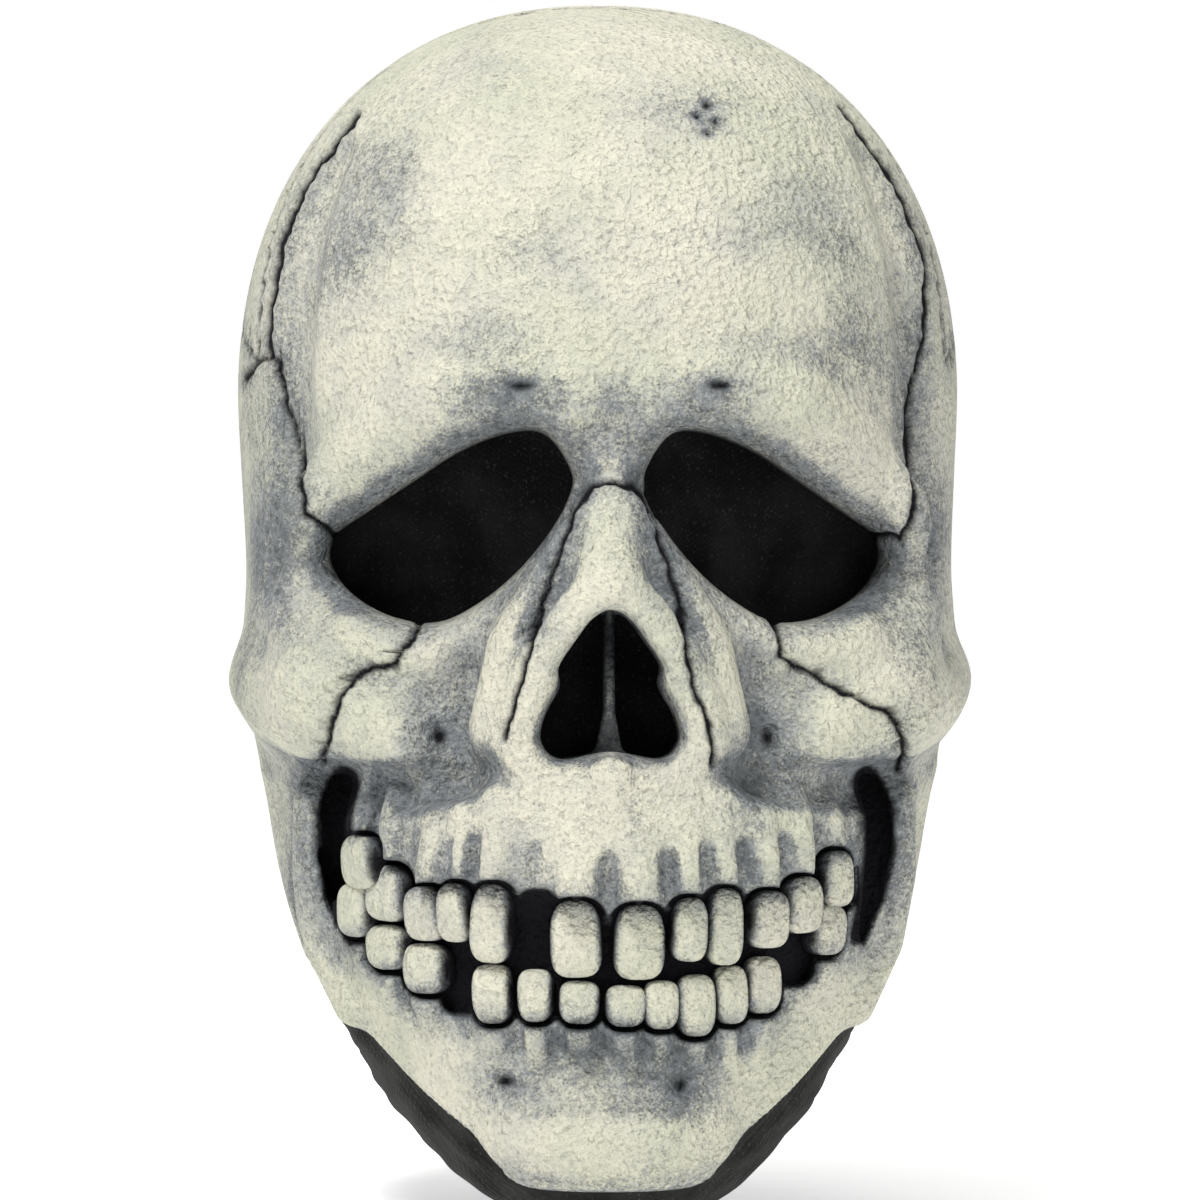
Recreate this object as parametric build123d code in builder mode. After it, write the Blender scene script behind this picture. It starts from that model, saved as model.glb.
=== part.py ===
"""Full-head latex skull mask with a short black cloth neck collar that opens at the back.

Millimetres, +Z up, the face looks along -Y and the wearer's left is +X. The origin is the point
that the mask is held by: the middle of the neck opening's footprint, level with the lowest hem.
"""

import os
from functools import lru_cache
from math import atan2, cos, degrees, pi, radians, sin

from build123d import *

# ---- driving dimensions ------------------------------------------------------------------
WALL = 3.0  # cast latex
LAP_GAP = 0.4  # air between the latex and the cloth that is glued inside its edge
CLOTH = 1.4  # doubled and bonded collar cloth
TAPE = 0.8  # cotton tape on seams and hems
TOUCH = 0.1  # air between two pieces that are glued or sewn face to face
PAD = 12.0  # foam pads inside the crown
SQUARENESS = 2.2  # superellipse exponent of every level section

CROWN_CENTRE_Z = 190.0
CROWN_RISE = 94.5
CROWN_HALF_WIDTH = 85.8
CROWN_HALF_DEPTH = 110.0
CROWN_CENTRE_Y = 10.0
CROWN_ANGLES = (0, 15, 30, 45, 58, 70, 79, 86)

# Level sections below the crown: height, half width, front, place of the widest point, back.
STATIONS = (
    (-6, 19, -97, -68, -10),
    (2, 24, -100, -64, 10),
    (10, 35, -104.5, -50, 34),
    (20, 46.5, -107, -30, 60),
    (30, 54.5, -107.5, -18, 75),
    (45, 63.5, -107.5, -6, 83),
    (60, 70, -107.5, -4, 84),
    (80, 76, -106.5, -6, 88),
    (100, 79.5, -104, -10, 100),
    (125, 85.5, -100, -12, 111),
    (150, 84, -97, -4, 118),
    (172, 84.8, -99.5, 6, 120.5),
)
SECTION_POINTS = 20

# Side outlines, as (y, z): the skull's lower edge and the collar's hem.
JAW_LINE = (
    (-130, 9.6), (-104, 9.6), (-92, 16), (-81, 25), (-63, 37), (-39, 50), (-12, 58), (8, 64), (30, 76), (60, 85), (130, 86)
)
HEM_LINE = ((-130, 0), (-88, 0), (-72, 3.5), (-60, 7.5), (-40, 13), (-15, 21), (10, 28), (40, 34), (85, 38), (130, 38))
LAP = 9.0  # how far the collar reaches up inside the latex
REACH = 150.0  # half length of every cutter

# Face openings, as (x, z) seen from the front, for the wearer's left side.
EYE_OUTLINE = ((8, 170), (12, 178.5), (20, 183), (33, 180), (48, 172.5), (61, 163.5), (67, 156), (64.5, 147), (56, 140), (44, 137.5), (31, 141.5), (20, 150.5), (11, 160.5))
SCREEN_TURN = 28.0  # degrees that each eye screen turns back towards the temple
SCREEN_INNER = (12.0, -80.0)  # a point of the eye screen's front plane, (x, y)
SCREEN_THICK = 0.8
SCREEN_FLANGE = 3.0
SOCKET_WALL = 2.6

NOSE_OUTLINE = ((0, 141), (5, 139), (9, 131), (12.5, 122), (16, 113), (15.5, 107), (10, 104.5), (0, 105))
NOSE_BACK_Y = -86.0
SEPTUM_WIDTH = 4.0
SEPTUM_FRONT_Y = -97.0

# Teeth, moulded in the casting: (x of the middle, width) for the wearer's left side.
UPPER_TEETH = ((5.6, 9.6), (15.5, 7.4), (24, 7.2), (32.5, 7.4), (41, 7.6), (48.5, 6.4))
LOWER_TEETH = ((3.8, 6.4), (11, 6.2), (18.5, 6.6), (26, 7), (34.5, 7.6), (46, 7))
UPPER_TOOTH_Z, LOWER_TOOTH_Z = 66.0, 48.0
UPPER_RISE, LOWER_RISE = 0.0072, 0.0076  # the rows curve up towards the molars: z rise per x squared
TOOTH_HEIGHT, TOOTH_DEPTH, TOOTH_SINK = 15.0, 5.0, 2.4
MISSING = {("upper", -15.5), ("lower", 34.5), ("lower", -26)}

# The collar's rear flaps and their living hinges.
HINGE_Y = 14.0
FLAP_GAP = 0.6
SLIT = 0.8

# The hook-and-loop tab that closes the rear slit.
TAB_Z, TAB_HEIGHT = 62.0, 18.0
TAB_LEFT, TAB_RIGHT = -34.0, 26.0
TAB_HINGE_X = -7.0
PATCH, WEBBING = 0.9, 1.2
PATCH_FROM, PATCH_TO = 3.0, 24.0
HOOK_GAP = 0.4
STITCH_LENGTH, STITCH_RADIUS, STITCH_PITCH = 2.6, 0.35, 4.0


# ---- shared shapes -----------------------------------------------------------------------
def section_points(half_width, front, wide, back):
    """A closed level outline: two half superellipses that meet at the widest points."""
    points = []
    for k in range(SECTION_POINTS):
        turn = 2 * pi * k / SECTION_POINTS
        across, along = cos(turn), sin(turn)
        x = half_width * abs(across) ** (2 / SQUARENESS) * (1 if across >= 0 else -1)
        reach = (back - wide) if along >= 0 else (front - wide)
        points.append((x, wide + reach * abs(along) ** (2 / SQUARENESS)))
    return points


def level_sections(inset):
    """Every section of the head form, `inset` mm inside the finished latex surface."""
    sections = [
        (z, section_points(width - inset, front + inset, wide, back - inset))
        for z, width, front, wide, back in STATIONS
        if width > inset + 10
    ]
    for angle in CROWN_ANGLES:
        share = cos(radians(angle)) ** (2 / SQUARENESS)
        rise = (CROWN_RISE - inset) * sin(radians(angle)) ** (2 / SQUARENESS)
        depth = (CROWN_HALF_DEPTH - inset) * share
        outline = section_points(
            (CROWN_HALF_WIDTH - inset) * share, CROWN_CENTRE_Y - depth, CROWN_CENTRE_Y, CROWN_CENTRE_Y + depth
        )
        sections.append((CROWN_CENTRE_Z + rise, outline))
    return sections


@lru_cache(maxsize=None)
def head_form(inset):
    """The solid head-and-neck form, lofted from level sections."""
    with BuildPart() as form:
        for z, outline in level_sections(inset):
            with BuildSketch(Plane.XY.offset(z)):
                with BuildLine():
                    Spline(*outline, periodic=True)
                make_face()
        loft()
    return form.part


@lru_cache(maxsize=None)
def skin(outer_inset, inner_inset):
    """The layer between two insets of the head form."""
    with BuildPart() as layer:
        add(head_form(outer_inset))
        add(head_form(inner_inset), mode=Mode.SUBTRACT)
    return layer.part


def above(line, rise=0.0):
    """All space above a side outline, which may be raised."""
    with BuildPart() as space:
        with BuildSketch(Plane.YZ):
            with BuildLine():
                edge = Spline(*[(y, z + rise) for y, z in line])
                Polyline(edge @ 1, (REACH, REACH * 2.2), (-REACH, REACH * 2.2), edge @ 0)
            make_face()
        extrude(amount=REACH, both=True)
    return space.part


def cut_to(piece, *keepers, without=()):
    """A piece cut down to where it meets every keeper, with some solids taken out of it."""
    with BuildPart() as trimmed:
        add(piece)
        for keeper in keepers:
            add(keeper, mode=Mode.INTERSECT)
        for tool in without:
            add(tool, mode=Mode.SUBTRACT)
    return trimmed.part


def block(x_span, y_span, z_span):
    """A plain box between two corners."""
    with BuildPart() as made:
        centre = tuple((low + high) / 2 for low, high in (x_span, y_span, z_span))
        with Locations(centre):
            Box(*[high - low for low, high in (x_span, y_span, z_span)])
    return made.part


def rounded_prism(plane, width, height, corner, depth):
    """A prism with rounded corners that starts on a plane and runs along its normal."""
    with BuildPart() as prism:
        with BuildSketch(plane):
            RectangleRounded(width, height, corner)
        extrude(amount=depth)
    return prism.part


def grown(outline, amount):
    """A closed outline moved out square to itself; the points run clockwise from the front."""
    moved = []
    for k, (x, z) in enumerate(outline):
        before, after = outline[k - 1], outline[(k + 1) % len(outline)]
        along = Vector(after[0] - before[0], after[1] - before[1]).normalized()
        moved.append((x - along.Y * amount, z + along.X * amount))
    return moved


def front_prism(outline, grow, y_front, y_back):
    """A prism along Y whose outline is drawn as seen from the front."""
    plane = Plane(origin=(0, y_front, 0), x_dir=(1, 0, 0), z_dir=(0, -1, 0))
    with BuildPart() as prism:
        with BuildSketch(plane):
            with BuildLine():
                Spline(*grown(outline, grow), periodic=True)
            make_face()
        extrude(amount=-(y_back - y_front))
    return prism.part


def mirrored(piece):
    """The same piece on the wearer's right."""
    return piece.mirror(Plane.YZ)


def keep(piece, name):
    """Labels a finished piece and writes it as its own STEP file."""
    piece.label = name
    export_step(piece, f"parts/{name}.step")
    print(name, len(piece.solids()), round(piece.volume))


# ---- the face's openings -----------------------------------------------------------------
def screen_plane(setback=0.0):
    """The plane of the wearer's left eye screen, moved back along its own normal."""
    normal = Vector(sin(radians(SCREEN_TURN)), -cos(radians(SCREEN_TURN)), 0)
    origin = Vector(*SCREEN_INNER, 0) - normal * setback
    return Plane(origin=origin, x_dir=(cos(radians(SCREEN_TURN)), sin(radians(SCREEN_TURN)), 0), z_dir=normal)


def half_space(plane):
    """All space on the side that the plane's normal points to."""
    with BuildPart() as space:
        with BuildSketch(plane):
            Rectangle(4 * REACH, 4 * REACH)
        extrude(amount=2 * REACH)
    return space.part


def eye_socket_tube():
    """The latex that turns in from the socket's rim to the screen."""
    return cut_to(front_prism(EYE_OUTLINE, SOCKET_WALL, -REACH, -20), half_space(screen_plane()))


def eye_bore():
    """The socket's open middle."""
    return front_prism(EYE_OUTLINE, 0, -REACH, -20)


def nose_outline():
    """The pear-shaped nasal opening, both halves."""
    left = [(-x, z) for x, z in reversed(NOSE_OUTLINE[1:-1])]
    return list(NOSE_OUTLINE) + left


def nose_bores():
    """The nasal opening, less a thin septum that is set back from the rim."""
    septum = block((-SEPTUM_WIDTH / 2, SEPTUM_WIDTH / 2), (SEPTUM_FRONT_Y, 0), (90, 150))
    return cut_to(front_prism(nose_outline(), 0, -REACH, -60), without=[septum])


def bone_relief():
    """Raised bone that the latex carries: brows, nasal bones, cheekbones and their arches."""
    lumps = []
    for side in (-1, 1):
        lumps.append(((side * 37, -83, 186), (32, 11, 8), side * 33, side * 12))
        lumps.append(((side * 60, -67, 118), (24, 14, 12), side * 40, side * -10))
        lumps.append(((side * 81, -18, 126), (6, 44, 9), side * -2, 0))
    lumps.append(((0, -97, 150), (9, 14, 24), 0, 0))
    lumps.append(((0, -98, 24), (26, 12, 13), 0, 0))
    shapes = []
    for centre, radii, turn_z, turn_y in lumps:
        ball = scale(Solid.make_sphere(1.0), by=radii)
        shapes.append(Location(centre) * Rot(0, turn_y, turn_z) * ball)
    return shapes


def tooth_blocks():
    """The moulded teeth, each a rounded block that lies on the head form and turns with it."""
    form = head_form(0)
    rows = (("upper", UPPER_TEETH, UPPER_TOOTH_Z, UPPER_RISE), ("lower", LOWER_TEETH, LOWER_TOOTH_Z, LOWER_RISE))
    with BuildPart() as teeth:
        for row, places, level, rise in rows:
            for x, width in [(side * x, width) for side in (-1, 1) for x, width in places]:
                if (row, x) in MISSING:
                    continue
                z = level + rise * x * x
                point, normal = form.find_intersection_points(Axis((x, -REACH, z), (0, 1, 0)))[0]
                turn = degrees(atan2(normal.Y, normal.X)) + 90
                centre = point + normal * (TOOTH_DEPTH / 2 - TOOTH_SINK)
                with Locations(Location((centre.X, centre.Y, z), (0, 0, turn))):
                    Box(width * cos(radians(turn)), TOOTH_DEPTH, TOOTH_HEIGHT * (1 - 0.004 * abs(x)))
        fillet(teeth.edges().filter_by(Axis.Z), 1.4)
    return teeth.part


# ---- pieces ------------------------------------------------------------------------------
def make_skull_casting():
    """The one-piece latex casting: cranium, face, jaw and moulded teeth."""
    tube = eye_socket_tube()
    bore = eye_bore()
    hollow = head_form(WALL) - tube - mirrored(tube)
    hollow = hollow - front_prism(nose_outline(), SOCKET_WALL, -REACH, NOSE_BACK_Y)
    casting = head_form(0)
    for raised in (*bone_relief(), tooth_blocks()):
        casting = casting + raised
    for opening in (hollow, bore, mirrored(bore), nose_bores()):
        casting = casting - opening
    keep(casting & above(JAW_LINE), "skull_casting")


def make_screens():
    """Black see-through gauze behind each eye socket and behind the nose."""
    panel = cut_to(
        front_prism(EYE_OUTLINE, SCREEN_FLANGE, -REACH, -20),
        half_space(screen_plane(TOUCH + SCREEN_THICK)),
        head_form(WALL + TOUCH),
        without=[half_space(screen_plane(TOUCH))],
    )
    keep(panel, "eye_screen_left")
    keep(mirrored(panel), "eye_screen_right")
    nose = front_prism(nose_outline(), SCREEN_FLANGE, NOSE_BACK_Y + TOUCH, NOSE_BACK_Y + TOUCH + SCREEN_THICK)
    keep(nose, "nose_screen")


def make_pads():
    """Foam pads glued inside the crown, so that the mask sits at the right height on a head."""
    lining = skin(WALL + TOUCH, WALL + PAD)
    front = Plane(origin=(0, 0, 211), x_dir=(1, 0, 0), z_dir=(0, -1, 0))
    rear = Plane(origin=(0, 0, 168), x_dir=(-1, 0, 0), z_dir=(0, 1, 0))
    side = Plane(origin=(0, 12, 196), x_dir=(0, 1, 0), z_dir=(1, 0, 0))
    top = Plane.XY.offset(200)
    keep(cut_to(lining, rounded_prism(top, 76, 92, 20, REACH)), "crown_pad")
    keep(cut_to(lining, rounded_prism(front, 82, 30, 9, REACH)), "forehead_pad")
    keep(cut_to(lining, rounded_prism(rear, 78, 40, 10, REACH)), "occiput_pad")
    temple = cut_to(lining, rounded_prism(side, 64, 42, 10, REACH))
    keep(temple, "temple_pad_left")
    keep(mirrored(temple), "temple_pad_right")


def make_collar():
    """The black cloth collar: a front part glued inside the jaw, and two rear flaps."""
    outer = WALL + LAP_GAP
    cloth = skin(outer, outer + CLOTH)
    tape = skin(outer + CLOTH + TOUCH, outer + CLOTH + TOUCH + TAPE)
    hem_top = above(HEM_LINE, 6.0)
    ahead = block((-REACH, REACH), (-REACH, HINGE_Y), (-REACH, REACH))
    behind = block((SLIT / 2, REACH), (HINGE_Y + FLAP_GAP, REACH), (-REACH, REACH))
    keep(cut_to(cloth, above(HEM_LINE), ahead, without=[above(JAW_LINE, LAP)]), "collar_front")
    keep(cut_to(tape, above(HEM_LINE), ahead, without=[hem_top]), "front_hem_tape")
    keep(cut_to(tape, above(JAW_LINE, 2.0), ahead, without=[above(JAW_LINE, LAP)]), "collar_joint_tape")
    flap = cut_to(cloth, above(HEM_LINE), behind, without=[above(JAW_LINE, -1.0)])
    keep(flap, "collar_flap_left")
    keep(mirrored(flap), "collar_flap_right")
    flap_tape = cut_to(tape, above(HEM_LINE), behind, without=[hem_top])
    keep(flap_tape, "flap_hem_tape_left")
    keep(mirrored(flap_tape), "flap_hem_tape_right")
    nape = cut_to(
        skin(WALL + TOUCH, WALL + TOUCH + TAPE),
        above(JAW_LINE),
        block((-REACH, REACH), (HINGE_Y + 14, REACH), (-REACH, REACH)),
        without=[above(JAW_LINE, 14)],
    )
    keep(nape, "nape_edge_tape")
    label_skin = skin(outer + CLOTH + TAPE + 3 * TOUCH, outer + CLOTH + TAPE + 3 * TOUCH + 0.5)
    keep(cut_to(label_skin, block((-REACH, 0), (-28, -8), (30, 52))), "blank_care_label")


def strap_piece(first, last, x_span, height):
    """A level strip on the back of the collar, between two insets of the head form."""
    room = block(x_span, (30, REACH), (TAB_Z - height / 2, TAB_Z + height / 2))
    return cut_to(skin(first, last), room)


def stitches(x_places, z_places, inset):
    """Short threads that lie level on the back of the collar."""
    form = head_form(inset)
    with BuildPart() as threads:
        for z in z_places:
            for x in x_places:
                point, normal = form.find_intersection_points(Axis((x, REACH, z), (0, -1, 0)))[0]
                turn = degrees(atan2(normal.Y, normal.X)) - 90
                centre = point + normal * (STITCH_RADIUS + 2 * TOUCH)
                place = Location((centre.X, centre.Y, z), (0, 0, turn))
                with Locations(place * Rot(0, 90, 0)):
                    Cylinder(STITCH_RADIUS, STITCH_LENGTH)
    return threads.part


def make_closure():
    """The hook-and-loop tab across the rear slit: root and anchor on one flap, loop on the other."""
    flap_face = WALL + LAP_GAP
    loop_in = flap_face - TOUCH
    loop_out = loop_in - PATCH
    hook_in = loop_out - HOOK_GAP
    hook_out = hook_in - PATCH
    web_in = hook_out - TOUCH
    web_out = web_in - WEBBING
    keep(strap_piece(loop_out, loop_in, (PATCH_FROM, PATCH_TO), TAB_HEIGHT - 2), "loop_patch")
    keep(strap_piece(hook_out, hook_in, (PATCH_FROM, PATCH_TO), TAB_HEIGHT - 3), "hook_patch")
    keep(strap_piece(hook_out, loop_in, (TAB_LEFT, TAB_HINGE_X - 1), TAB_HEIGHT), "tab_anchor")
    keep(strap_piece(web_out, web_in, (TAB_LEFT, TAB_HINGE_X - 0.3), TAB_HEIGHT), "tab_root")
    keep(strap_piece(web_out, web_in, (TAB_HINGE_X + 0.3, TAB_RIGHT), TAB_HEIGHT), "tab_pull_end")
    rows = (TAB_Z - TAB_HEIGHT / 2 + 2.5, TAB_Z + TAB_HEIGHT / 2 - 2.5)
    root_places = [TAB_LEFT + 3 + STITCH_PITCH * k for k in range(6)]
    keep(stitches(root_places, rows, web_out), "tab_stitches")


os.makedirs("parts", exist_ok=True)
make_skull_casting()
make_screens()
make_pads()
make_collar()
make_closure()
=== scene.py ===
"""Looks of the full-head latex skull mask: painted casting, moulded teeth, gauze, pads and cloth collar."""

import math

import bmesh
import bpy
import numpy as np
from bpy.props import FloatProperty, FloatVectorProperty, PointerProperty
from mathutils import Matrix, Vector


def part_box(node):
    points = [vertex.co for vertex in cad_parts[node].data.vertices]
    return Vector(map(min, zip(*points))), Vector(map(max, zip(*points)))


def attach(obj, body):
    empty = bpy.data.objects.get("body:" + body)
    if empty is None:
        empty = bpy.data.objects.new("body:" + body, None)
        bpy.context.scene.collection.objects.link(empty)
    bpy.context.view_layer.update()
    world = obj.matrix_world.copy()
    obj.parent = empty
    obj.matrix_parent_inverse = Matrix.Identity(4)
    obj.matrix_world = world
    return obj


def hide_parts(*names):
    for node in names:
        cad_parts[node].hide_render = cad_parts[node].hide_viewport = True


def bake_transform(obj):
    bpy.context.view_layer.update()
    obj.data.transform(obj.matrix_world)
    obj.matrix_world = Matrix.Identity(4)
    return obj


bl_info = {
    "name": "Skull Mask",
    "version": (1, 0, 0),
    "blender": (4, 5, 0),
    "location": "View3D > Sidebar > Skull Mask",
    "description": "Builds the looks of a latex skull mask around its packed frame",
    "category": "Object",
}

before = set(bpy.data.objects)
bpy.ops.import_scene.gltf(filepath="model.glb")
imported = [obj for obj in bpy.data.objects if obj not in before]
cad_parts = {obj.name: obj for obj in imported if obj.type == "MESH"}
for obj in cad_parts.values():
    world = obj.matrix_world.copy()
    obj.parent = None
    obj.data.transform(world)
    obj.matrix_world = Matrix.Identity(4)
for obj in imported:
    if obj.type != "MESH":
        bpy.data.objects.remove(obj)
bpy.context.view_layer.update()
MM = 0.001

# ---- the head form, in millimetres ---------------------------------------------------------
# Level sections below the crown: height, half width, front, place of the widest point, back.
STATIONS = (
    (-10, 18, -97, -70, -14),
    (2, 24, -100, -64, 10),
    (10, 35, -104.5, -50, 34),
    (20, 46.5, -107, -30, 60),
    (30, 54.5, -107.5, -18, 75),
    (45, 63.5, -107.5, -6, 83),
    (60, 70, -107.5, -4, 84),
    (80, 76, -106.5, -6, 88),
    (100, 79.5, -104, -10, 100),
    (125, 84, -100, -12, 111),
    (150, 83.5, -97, -4, 118),
    (172, 84.8, -99.5, 6, 120.5),
    (190, 85.8, -100, 10, 120),
    (210, 85.8, -100, 10, 120),
)
SQUARENESS = 2.2
CROWN_Z, CROWN_RISE = 190.0, 94.5
JAW_LINE = (
    (-130, 9.6), (-104, 9.6), (-92, 16), (-81, 25), (-63, 37), (-39, 50), (-12, 58), (8, 64),
    (30, 76), (60, 85), (130, 86),
)
# The casting's cut edge as it shows (y, z): higher along the jaw than JAW_LINE, so that more of the
# collar is seen.
CUT_LINE = (
    (-130, 11.4), (-104, 11.4), (-100, 16), (-95, 21), (-87, 27), (-77, 34), (-66, 41.5),
    (-52, 48.5), (-32, 55), (-10, 59.5), (8, 64), (30, 76), (60, 85), (130, 86),
)
HEM_LINE = (
    (-130, 0), (-88, 0), (-72, 3.5), (-60, 7.5), (-40, 13), (-15, 21), (10, 28), (40, 34), (85, 38), (130, 38)
)
EYE_RIM = (
    (8.4, 172), (14, 180), (22, 180.5), (33, 176.5), (44, 169.5), (54, 163), (61.5, 157.5), (62.5, 151),
    (57.5, 144), (48.5, 139), (38.5, 137.8), (30, 141.5), (21, 148.6), (13.5, 157.5), (8.8, 166),
)
NOSE_RIM = (
    (0, 140.5), (4.2, 138.4), (8, 133.4), (11.4, 128), (11, 123.5), (14.6, 116.5), (15.2, 111), (11, 107.4),
    (5, 108.6),
)
SCREEN_TURN = math.radians(28.0)
SCREEN_INNER = (12.0, -80.0)
NOSE_BACK = -86.0
WALL = 3.0
THIN_WALL = 2.4
MOUTH_DEPTH = 4.2
SUTURE_DEPTH = 1.2
TOOTH_HALF_DEPTH = 3.6
COLLAR_LAP = 9.0
CLOTH_THICKNESS = 1.3
SKIN_TRIANGLES = 122000
PAD_TRIANGLES = 14000

# Teeth: middle x, width, lowest z, highest z.
UPPER_TEETH = (
    (-55, 6.2, 77.5, 89.5), (-48.8, 8.0, 70.5, 83), (-40.4, 7.6, 66.5, 78.5), (-34, 6.2, 66.5, 79.5),
    (-26, 8.2, 62, 79.5), (-7.6, 11.2, 59, 76), (6.3, 11.2, 58.5, 75), (17.4, 7.8, 62.5, 76.5),
    (25.2, 7.6, 61.5, 78.5), (35, 8.2, 65, 77.6), (43, 8, 68, 80.5), (51, 6.6, 73.5, 86),
)
LOWER_TEETH = (
    (-56, 6.4, 66.5, 78.5), (-48.8, 8.2, 59.5, 69.4), (-40.4, 8.8, 54.5, 65.6), (-25.8, 8.2, 48.4, 61.4),
    (-16.4, 7.4, 49, 60.5), (-6.8, 8.8, 48.6, 58), (3.4, 9, 48, 57), (11.2, 7.8, 47.4, 58), (
        18.9, 8.2, 45.6, 59.2
    ),
    (26.6, 7, 48.2, 61), (33.8, 7.6, 50.2, 62.8), (49, 7.4, 62.7, 74),
)

# Slot between the molars and the jaw: x, height, half width.
JAW_SLOT = ((59.5, 101.5, 3.4), (61.8, 95, 4.2), (62, 85, 4.1), (60.6, 75, 3.4), (57.8, 66.5, 2.4))
LOST_TEETH = ((-16.2, 8, 61, 77.5), (-33, 7, 51, 62), (41.5, 8, 57, 69))

# Suture lines, as seen from the front (x, z), the sides (y, z), the back (x, z) and the top (x, y).
FRONT_CRACKS = (
    ((37.7, 139), (38.8, 129.7), (44.9, 126.4), (53.8, 121.9), (63.8, 117), (67.6, 110.8), (67.2, 104)),
    ((-40, 141), (-45.5, 133), (-47.8, 128.6), (-56.7, 126), (-61.2, 119.7), (-64.5, 106)),
    ((-69.6, 168.8), (-68.3, 162), (-61.4, 157.6)),
    ((70.5, 163), (67.2, 156.5), (60.7, 157.6)),
    ((-7.6, 164), (-4.2, 168.8), (0.7, 169.2), (5.8, 168.3), (9.2, 164)),
    ((9.2, 164), (10.3, 160), (14, 146.5), (16.5, 137.5), (18, 124), (22, 115), (23, 106)),
    ((-7.6, 164), (-8.7, 162), (-14.3, 144), (-18.3, 133), (-21, 122), (-24, 112)),
    (
        (-57, 256), (-69, 240), (-74.5, 227), (-77.5, 209), (-77.5, 199), (-75.2, 197.8), (-73.4, 187.8),
        (-69.4, 177.7), (-69.6, 168.8),
    ),
    ((-84, 195), (-80, 198.3), (-77.5, 199)),
    ((56, 258), (69, 240), (76, 222), (75, 204.5), (72.8, 196.7), (70.5, 189), (70.5, 163)),
)
# Small pits as seen from the front: x, z, half width, half height.
PITS = (
    (-19.9, 190.4, 3.2, 1.1), (24.8, 190.7, 3.2, 1.1), (-37.9, 112, 1.8, 2.4), (35.7, 112, 1.8, 2.4),
    (-23.2, 35.3, 2.2, 1.4), (15.8, 34.4, 1.6, 2.0),
    (23, 255.5, 0.9, 1.1), (20.6, 252.8, 0.7, 0.8), (24.8, 251.6, 0.9, 0.8), (22.8, 248.6, 0.6, 0.8),
)
SIDE_CRACKS = (
    ((-32, 199), (-8, 206), (20, 208), (48, 196), (66, 172), (72, 150)),
    ((-8, 284), (-14, 262), (-22, 236), (-30, 214), (-34, 199)),
)
BACK_CRACKS = (
    ((-84, 150), (-66, 168), (-44, 190), (-22, 210), (0, 222), (22, 210), (44, 190), (66, 168), (84, 150)),
)
TOP_CRACKS = (
    ((-60, 0), (-40, -10), (-18, -16), (0, -18), (18, -16), (40, -10), (60, 0)),
    ((0, -18), (1, 10), (-1, 40), (0, 80), (0, 120)),
)


# ---- digital clay --------------------------------------------------------------------------
def smooth_low(a, b, k):
    """The lower of two distances, blended over k millimetres."""
    h = np.maximum(k - np.abs(a - b), 0.0) / k
    return np.minimum(a, b) - h * h * k * 0.25


def smooth_high(a, b, k):
    """The higher of two distances, blended over k millimetres."""
    return -smooth_low(-a, -b, k)


def rounded_outline(points, closed=True, per=8):
    """Catmull-Rom curve through given points."""
    pts = np.array(points, float)
    n = len(pts)
    spans = range(n) if closed else range(n - 1)
    out = []
    for i in spans:
        if closed:
            p0, p1, p2, p3 = pts[i - 1], pts[i], pts[(i + 1) % n], pts[(i + 2) % n]
        else:
            p0, p1, p2, p3 = pts[max(i - 1, 0)], pts[i], pts[i + 1], pts[min(i + 2, n - 1)]
        for t in np.linspace(0, 1, per, endpoint=False):
            out.append(
                0.5
                * (
                    2 * p1 + (p2 - p0) * t + (2 * p0 - 5 * p1 + 4 * p2 - p3) * t * t
                    + (3 * p1 - p0 - 3 * p2 + p3) * t**3
                )
            )
    if not closed:
        out.append(pts[-1])
    return np.array(out)


def mirrored(outline):
    """The same outline on the other side of the head."""
    return tuple((-x, z) for x, z in reversed(outline))


EYES = (EYE_RIM, mirrored(EYE_RIM))
NOSE_OPENING = NOSE_RIM[:-1] + ((0, 109),) + mirrored(NOSE_RIM[1:-1])


def station_values(z):
    """Half width, front, widest place and back of the head form at heights z."""
    table = np.array(STATIONS, float)
    dense = rounded_outline(table, closed=False, per=12)
    return [np.interp(z, dense[:, 0], dense[:, k]) for k in (1, 2, 3, 4)]


def outline_distance(points, u, v):
    """Signed distance in a plane to a closed outline; negative inside."""
    best = np.full(np.broadcast(u, v).shape, 1e9)
    inside = np.zeros(best.shape, bool)
    for (x0, y0), (x1, y1) in zip(points, np.roll(points, -1, axis=0)):
        dx, dy = x1 - x0, y1 - y0
        t = np.clip(((u - x0) * dx + (v - y0) * dy) / (dx * dx + dy * dy + 1e-12), 0, 1)
        best = np.minimum(best, (u - x0 - t * dx) ** 2 + (v - y0 - t * dy) ** 2)
        crosses = ((y0 > v) != (y1 > v)) & (u < (x1 - x0) * (v - y0) / (y1 - y0 + 1e-12) + x0)
        inside ^= crosses
    return np.where(inside, -1, 1) * np.sqrt(best)


def line_distance(points, u, v):
    """Distance in a plane to an open line."""
    best = np.full(np.shape(u), 1e9)
    for (x0, y0), (x1, y1) in zip(points[:-1], points[1:]):
        dx, dy = x1 - x0, y1 - y0
        t = np.clip(((u - x0) * dx + (v - y0) * dy) / (dx * dx + dy * dy + 1e-12), 0, 1)
        best = np.minimum(best, (u - x0 - t * dx) ** 2 + (v - y0 - t * dy) ** 2)
    return np.sqrt(best)


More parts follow.
